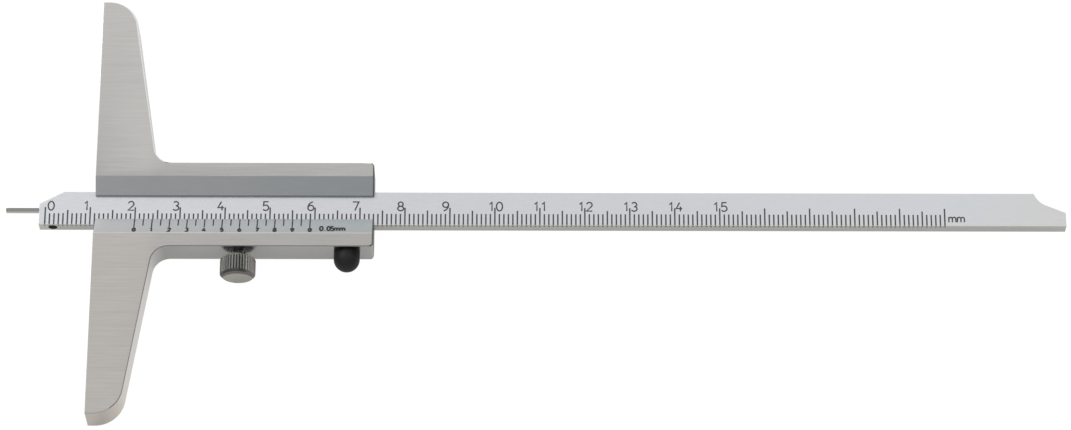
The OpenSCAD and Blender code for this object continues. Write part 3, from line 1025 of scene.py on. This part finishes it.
def make_measuring_pin():
    full = PIN_SHANK_LENGTH + PIN_LENGTH
    rings = [(PIN_SHANK_RADIUS, 0), (PIN_SHANK_RADIUS, PIN_SHANK_LENGTH - PIN_SHANK_CHAMFER),
             (PIN_SHANK_RADIUS - PIN_SHANK_CHAMFER, PIN_SHANK_LENGTH),
             (PIN_RADIUS, PIN_SHANK_LENGTH),
             (PIN_RADIUS, full - PIN_TIP_CHAMFER), (PIN_RADIUS - PIN_TIP_CHAMFER, full)]
    mesh = to_pin(turned(rings, ROUND_SIDES), BEAM_LEFT + PIN_SHANK_LENGTH)
    shade(mesh, crease=30)
    pin = piece("pin_body", mesh, "beam", [PIN_STEEL])
    even_shading(pin)
    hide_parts("measuring_pin")


def knurl_radius(radius, height, turn):
    """Radius of the knurled head: flat-topped ridges with V-shaped valleys."""
    phase = (turn * KNURL_COUNT) % 1.0
    away = abs(phase - 0.5) * 2
    drop = max(0.0, (away - KNURL_LAND_SHARE) / (1 - KNURL_LAND_SHARE))
    return min(radius, HEAD_RADIUS - KNURL_DEPTH * drop)


def thread_radius(radius, height, turn):
    """Radius of the right-hand V thread at a height and a share of a turn; its point is plain."""
    if radius != THREAD_RADIUS:
        return radius
    phase = (height / THREAD_PITCH - turn) % 1.0
    return radius - THREAD_DEPTH * abs(phase * 2 - 1)


def make_clamp_screw():
    inner = HEAD_RADIUS - HEAD_CHAMFER
    outer = HEAD_RADIUS - HEAD_END_CHAMFER
    rings = [(POLE_RADIUS, 0.0)]
    for k in range(CHAMFER_STEPS + 1):
        step = HEAD_CHAMFER * k / CHAMFER_STEPS
        rings.append((inner + step, step))
    rings.append((HEAD_RADIUS, HEAD_HEIGHT / 2))
    for k in reversed(range(CHAMFER_STEPS + 1)):
        step = HEAD_END_CHAMFER * k / CHAMFER_STEPS
        rings.append((outer + step, HEAD_HEIGHT - step))
    rings += [(outer - END_FACE_RING, HEAD_HEIGHT), (POLE_RADIUS, HEAD_HEIGHT)]
    mesh = to_rail(turned(rings, KNURL_COUNT * SIDES_PER_RIDGE, knurl_radius), CLAMP_X, HEAD_TOP_Y)
    shade(mesh, crease=25)
    mesh.normal_update()
    # The end face takes the turned steel with its painted shade; the face towards the rail takes
    # the oiled steel, painted dark as shade
    for face in mesh.faces:
        if abs(face.normal.y) > SQUARE_ON:
            face.material_index = 1 if face.normal.y < 0 else 2
    head = piece("clamp_head", mesh, "clamp_screw",
                 [KNURL_STEEL, SCREW_STEEL, OILED_AND_SHADED_STEEL])
    even_shading(head)
    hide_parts("clamp_screw")

    length = THREAD_END_Y - HEAD_TOP_Y
    count = int(length / THREAD_PITCH * RINGS_PER_TURN)
    rings = [(POINT_RADIUS, -POINT_LENGTH), (POINT_RADIUS, -POINT_SHOULDER),
             (THREAD_RADIUS - THREAD_CHAMFER, 0.0)]
    rings += [(THREAD_RADIUS, THREAD_RUN_OUT + (length - THREAD_RUN_OUT) * i / count)
              for i in range(count + 1)]
    mesh = to_rail(turned(rings, ROUND_SIDES, thread_radius), CLAMP_X, THREAD_END_Y)
    shade(mesh, crease=60)
    # The thread is oiled and painted dark as shade
    piece("clamp_thread", mesh, "clamp_screw", [OILED_AND_SHADED_STEEL])


def make_thumb_rest():
    rings = [(THUMB_STUD_RADIUS - THUMB_STUD_CHAMFER, -THUMB_STUD_LENGTH),
             (THUMB_STUD_RADIUS, -THUMB_STUD_LENGTH + THUMB_STUD_CHAMFER), (THUMB_STUD_RADIUS, 0.0)]
    rings += [(THUMB_RADIUS - step, height) for step, height in THUMB_FOOT]
    rings += [(r, THUMB_BASE + h)
              for r, h in arc((0, 0), THUMB_RADIUS, 0, THUMB_DOME_END, DOME_STEPS)]
    mesh = to_rail(turned(rings, THUMB_SIDES), THUMB_X, LOWER_RAIL_Y)
    shade(mesh, crease=40)
    rest = piece("thumb_dome", mesh, "frame", [BLACK_PLASTIC])
    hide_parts("thumb_rest")


# Graduations and numerals


# Strokes of plain engraver's numerals, one unit wide and 1.6 units high
STROKES = {
    "0": [bow(0.5, 0.8, 0.5, 0.8, 90, 450, 24)],
    "1": [[(0.12, 1.22), (0.5, 1.6), (0.5, 0.0)]],
    "2": [bow(0.5, 1.14, 0.46, 0.46, 165, -35) + [(0.02, 0.0), (1.0, 0.0)]],
    "3": [bow(0.48, 1.2, 0.42, 0.4, 150, -90), bow(0.46, 0.42, 0.5, 0.42, 90, -150)],
    "4": [[(0.56, 1.6), (0.0, 0.5), (1.0, 0.5)], [(0.7, 0.86), (0.7, 0.0)]],
    "5": [[(0.92, 1.6), (0.16, 1.6), (0.08, 0.86)] + bow(0.46, 0.5, 0.5, 0.5, 118, -145)],
    "6": [bow(0.5, 0.48, 0.48, 0.48, 0, 360, 24), bow(0.98, 0.5, 0.96, 1.1, 98, 172, 8)],
    "7": [[(0.0, 1.6), (1.0, 1.6), (0.36, 0.0)]],
    "8": [bow(0.5, 1.2, 0.4, 0.4, 90, 450, 18), bow(0.5, 0.41, 0.49, 0.41, 90, 450, 20)],
    "9": [bow(0.5, 1.12, 0.48, 0.48, 0, 360, 24), bow(0.02, 1.1, 0.96, 1.1, -82, -8, 8)],
    "m": [[(0.0, 0.0), (0.0, 1.0)], bow(0.4, 0.62, 0.4, 0.38, 170, 0, 8) + [(0.8, 0.0)],
          bow(1.2, 0.62, 0.4, 0.38, 180, 0, 8) + [(1.6, 0.0)]],
    ".": [[(0.5, 0.0), (0.5, 0.16)]],
}
STROKE_WIDTHS = {"m": 1.6, "1": 0.85}


def ribbon(mesh, points, width, place, lift=0.0):
    """A thin closed strip along a stroke; place(u, v, h) puts a flat point on the surface."""
    closed = len(points) > 3 and (Vector(points[0]) - Vector(points[-1])).length < 0.001
    if closed:
        points = points[:-1]
    count = len(points)
    rows = []
    for i, (u, v) in enumerate(points):
        here = Vector((u, v))
        back = here - Vector(points[i - 1]) if closed or i > 0 else None
        ahead = Vector(points[(i + 1) % count]) - here if closed or i < count - 1 else None
        back = (back or ahead).normalized()
        ahead = (ahead or back).normalized()
        along = (back + ahead).normalized()
        out = Vector((-along.y, along.x)) * (width / 2) / max(SHARPEST_MITRE, along.dot(ahead))
        rows.append([mesh.verts.new(place(*(here + out * side), height))
                     for side, height in ((-1, -INK_SINKS), (1, -INK_SINKS),
                                          (1, INK_STANDS + lift), (-1, INK_STANDS + lift))])
    pairs = list(zip(rows, rows[1:]))
    if closed:
        pairs.append((rows[-1], rows[0]))
    for a, b in pairs:
        for k in range(4):
            mesh.faces.new((a[k], a[(k + 1) % 4], b[(k + 1) % 4], b[k]))
    if not closed:
        mesh.faces.new(rows[0])
        mesh.faces.new(rows[-1][::-1])


def write(mesh, text, left, foot, height, stroke, place, spread=CHARACTER_SPREAD, squeeze=1.0):
    """Draws plain characters from their left foot; squeeze makes them narrower."""
    unit = height / CHARACTER_HEIGHT
    wide = unit * squeeze
    for letter in text:
        for number, points in enumerate(STROKES[letter], start=1):
            ribbon(mesh, [(left + u * wide, foot + v * unit) for u, v in points], stroke, place,
                   number * STROKE_LIFT)
        left += (STROKE_WIDTHS.get(letter, 1.0) + spread - 1.0) * wide


# Where the beam's face ends at its broken lower edge, and the width of that edge
FACE_END_Y = BEAM_EDGE_BREAK - BEAM_HALF
BROKEN_WIDTH = math.sqrt(2) * BEAM_EDGE_BREAK


def on_beam(u, v, h):
    """Puts a point on the beam's face, and past its broken lower edge on its side."""
    past = FACE_END_Y - v
    if past <= 0:
        return (u, v, BEAM_FRONT + h)
    if past < BROKEN_WIDTH:
        return (u, FACE_END_Y - (past + h) * math.sqrt(0.5),
                BEAM_FRONT - (past - h) * math.sqrt(0.5))
    return (u, -BEAM_HALF - h, BEAM_FRONT - BEAM_EDGE_BREAK - (past - BROKEN_WIDTH))


def make_beam_scale():
    lines = bmesh.new()
    faint = bmesh.new()
    side_start = FACE_END_Y - BROKEN_WIDTH
    for i in range(SCALE_LINES + 1):
        x = SCALE_ZERO_X + i
        step = 10 if i % 10 == 0 else 5 if i % 5 == 0 else 1
        ribbon(lines, [(x, LINE_TOPS[step]), (x, FACE_END_Y), (x, side_start)], LINE_WIDTH, on_beam)
        ribbon(faint, [(x, side_start), (x, side_start - LINE_DOWN_SIDE)], LINE_WIDTH, on_beam)
    piece("beam_lines", lines, "beam", [SCALE_INK])
    piece("beam_edge_lines", faint, "beam", [FAINT_INK])

    numerals = bmesh.new()

    def engrave(text, left):
        write(numerals, text, left, NUMERAL_FOOT_Y, NUMERAL_HEIGHT, NUMERAL_STROKE, on_beam)

    unit = NUMERAL_HEIGHT / CHARACTER_HEIGHT
    engrave("0", SCALE_ZERO_X + FIRST_NUMERAL_GAP)
    for i in range(1, SCALE_NUMERALS + 1):
        x = SCALE_ZERO_X + 10 * i
        if i < 10:
            engrave(str(i), x - NUMERAL_GAP - unit * STROKE_WIDTHS.get(str(i), 1.0))
        else:
            engrave("1", x + TENS_LEFT)
            engrave(str(i % 10), x + UNITS_LEFT)
    write(numerals, "mm", SCALE_ZERO_X + SCALE_LINES + UNIT_LEFT_GAP, UNIT_FOOT_Y, UNIT_HEIGHT,
          UNIT_STROKE, on_beam, squeeze=UNIT_SQUEEZE)
    piece("beam_numerals", numerals, "beam", [SCALE_INK])


def on_bevel(u, v, h):
    """v runs down the vernier's bevel from its thin edge, h stands square to it."""
    drop = Vector((LOWER_BEVEL_Y - VERNIER_Y, FRAME_THICKNESS - VERNIER_TOP)).normalized()
    return (u, VERNIER_Y + drop.x * v + drop.y * h, VERNIER_TOP + drop.y * v - drop.x * h)


def upright_on_bevel(u, v, h):
    return on_bevel(u, -v, h)


def make_vernier_scale():
    lines = bmesh.new()
    numerals = bmesh.new()
    pitch = VERNIER_SPAN / VERNIER_DIVISIONS
    unit = VERNIER_NUMERAL_HEIGHT / CHARACTER_HEIGHT
    foot = -VERNIER_NUMERAL_MIDDLE - VERNIER_NUMERAL_HEIGHT / 2
    for i in range(VERNIER_DIVISIONS + 1):
        x = VERNIER_ZERO_X + pitch * i
        long = i % 2 == 0
        end = VERNIER_LONG if long else VERNIER_SHORT
        ribbon(lines, [(x, VERNIER_LINE_START), (x, end)], VERNIER_LINE_WIDTH, on_bevel)
        if long:
            left = x - unit * VERNIER_SQUEEZE / 2 + VERNIER_NUMERAL_SHIFT
            write(numerals, str((i // 2) % 10), left, foot, VERNIER_NUMERAL_HEIGHT,
                  VERNIER_NUMERAL_STROKE, upright_on_bevel, squeeze=VERNIER_SQUEEZE)
    write(numerals, "0.05mm", VALUE_LEFT, VALUE_FOOT, VALUE_HEIGHT, VALUE_STROKE,
          upright_on_bevel, spread=VALUE_SPREAD, squeeze=VALUE_SQUEEZE)
    piece("vernier_lines", lines, "frame", [VERNIER_INK])
    piece("vernier_numerals", numerals, "frame", [VERNIER_INK])


make_frame()
make_beam()
make_measuring_pin()
make_clamp_screw()
make_thumb_rest()
make_beam_scale()
make_vernier_scale()

for node, material in (("pin_set_screw", BLACK_OXIDE), ("clamp_shoe", SHOE_BRASS),
                       ("leaf_spring", SPRING_BRONZE)):
    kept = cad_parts[node]
    kept.data.materials.clear()
    kept.data.materials.append(material)


# Floor, light and camera. The floor is white to the camera, as in the photo.
FLOOR_HALF_M = 6
FLOOR_COLOUR = (0.85, 0.85, 0.85, 1)
FLOOR_GLOW = 1.12
FLOOR_SEEN_SHARE = 0.86
FLOOR_MIRRORED_SHARE = 0.45


def make_floor():
    mesh = bmesh.new()
    low = (AXIS_Z - HEAD_RADIUS) * MM
    for x, y in ((-1, -1), (1, -1), (1, 1), (-1, 1)):
        mesh.verts.new((x * FLOOR_HALF_M, y * FLOOR_HALF_M, low))
    mesh.faces.new(mesh.verts)
    material = bpy.data.materials.new("white_floor")
    floor = made_object("studio_floor", mesh, [material])

    tree, surface = emptied(material)
    matt = node_with(tree, "BsdfDiffuse", Color=FLOOR_COLOUR)
    glow = node_with(tree, "Emission", Color=(1, 1, 1, 1), Strength=FLOOR_GLOW)
    path = tree.nodes.new("ShaderNodeLightPath")
    mirrored = sum_node(tree, "MAXIMUM", path.outputs["Is Glossy Ray"],
                        path.outputs["Is Transmission Ray"])
    seen = sum_node(tree, "MULTIPLY", path.outputs["Is Camera Ray"], FLOOR_SEEN_SHARE)
    share = sum_node(tree, "MULTIPLY_ADD", mirrored, FLOOR_MIRRORED_SHARE, seen)
    mix = tree.nodes.new("ShaderNodeMixShader")
    for source, socket in zip((share, matt.outputs["BSDF"], glow.outputs["Emission"]), mix.inputs):
        tree.links.new(source, socket)
    tree.links.new(mix.outputs["Shader"], surface)


# Brightness of the studio by tilt from overhead towards the far side, in degrees
STUDIO_TILTS = (
    (-180, 0.50), (-95, 0.45), (-66, 0.46), (-45, 0.47), (-26, 0.49), (-12, 0.54), (0, 0.64),
    (12, 0.79), (24, 0.94), (36, 1.03), (50, 1.05), (66, 1.03), (80, 1.00), (90, 0.95),
    (120, 0.60), (180, 0.50),
)
# The studio is darker to the left and right: from, to, and the brightness left there
STUDIO_SIDES = (0.7, 0.92, 0.22)
KEY_ENERGY = 0.7
KEY_ANGLE = 25
KEY_FROM = (-0.55, 0.35, 0.76)


def make_studio():
    world = bpy.data.worlds.new("studio")
    bpy.context.scene.world = world
    tree, surface = emptied(world, "ShaderNodeOutputWorld")
    way = node_with(tree, "SeparateXYZ", Vector=node_with(tree, "TexCoord").outputs["Generated"])
    tilt = sum_node(tree, "ARCTAN2", way.outputs["Y"], way.outputs["Z"])
    ramp = node_with(tree, "ValToRGB", Fac=span(tree, tilt, -math.pi, math.pi))
    stops = ramp.color_ramp.elements
    while len(stops) > 1:
        stops.remove(stops[-1])
    for i, (degrees, level) in enumerate(STUDIO_TILTS):
        spot = (degrees + 180) / 360
        stop = stops[0] if i == 0 else stops.new(spot)
        stop.position = spot
        stop.color = (level, level, level, 1)
    aside = sum_node(tree, "ABSOLUTE", way.outputs["X"])
    side_start, side_end, side_level = STUDIO_SIDES
    dim = span(tree, aside, side_start, side_end, 1.0, side_level)
    seen = tree.nodes.new("ShaderNodeLightPath").outputs["Is Camera Ray"]
    back = node_with(tree, "Background",
                     Color=blend_colours(tree, seen, ramp.outputs["Color"], WHITE),
                     Strength=sum_node(tree, "MAXIMUM", dim, seen))
    tree.links.new(back.outputs["Background"], surface)

    lamp = bpy.data.lights.new("soft_key", "SUN")
    lamp.energy = KEY_ENERGY
    lamp.angle = math.radians(KEY_ANGLE)
    key = placed_in_scene("soft_key", lamp)
    key.rotation_euler = Vector(KEY_FROM).to_track_quat("Z", "Y").to_euler()


# The camera stands where the photo was taken from, as worked out from the gauge's edges
CAMERA_LENS = 145.18
CAMERA_SENSOR = 36.0
CAMERA_CLIP = (0.01, 100.0)
CAMERA_RISE = 66
CAMERA_ROLL = 0.115
CAMERA_AIM = (97.93, -1.692, 5.5)
CAMERA_DISTANCE = 959.8


def make_camera():
    lens = bpy.data.cameras.new("photo_camera")
    lens.lens = CAMERA_LENS
    lens.sensor_width = CAMERA_SENSOR
    lens.clip_start, lens.clip_end = CAMERA_CLIP
    camera = placed_in_scene("photo_camera", lens)
    rise = math.radians(CAMERA_RISE)
    away = Vector((0, -math.cos(rise), math.sin(rise)))
    place = Vector(CAMERA_AIM) * MM + away * CAMERA_DISTANCE * MM
    turn = (Matrix.Rotation(math.radians(90 - CAMERA_RISE), 4, "X")
            @ Matrix.Rotation(math.radians(CAMERA_ROLL), 4, "Z"))
    camera.matrix_world = Matrix.Translation(place) @ turn
    bpy.context.scene.camera = camera


make_floor()
make_studio()
make_camera()

bpy.context.scene.view_settings.view_transform = "Standard"
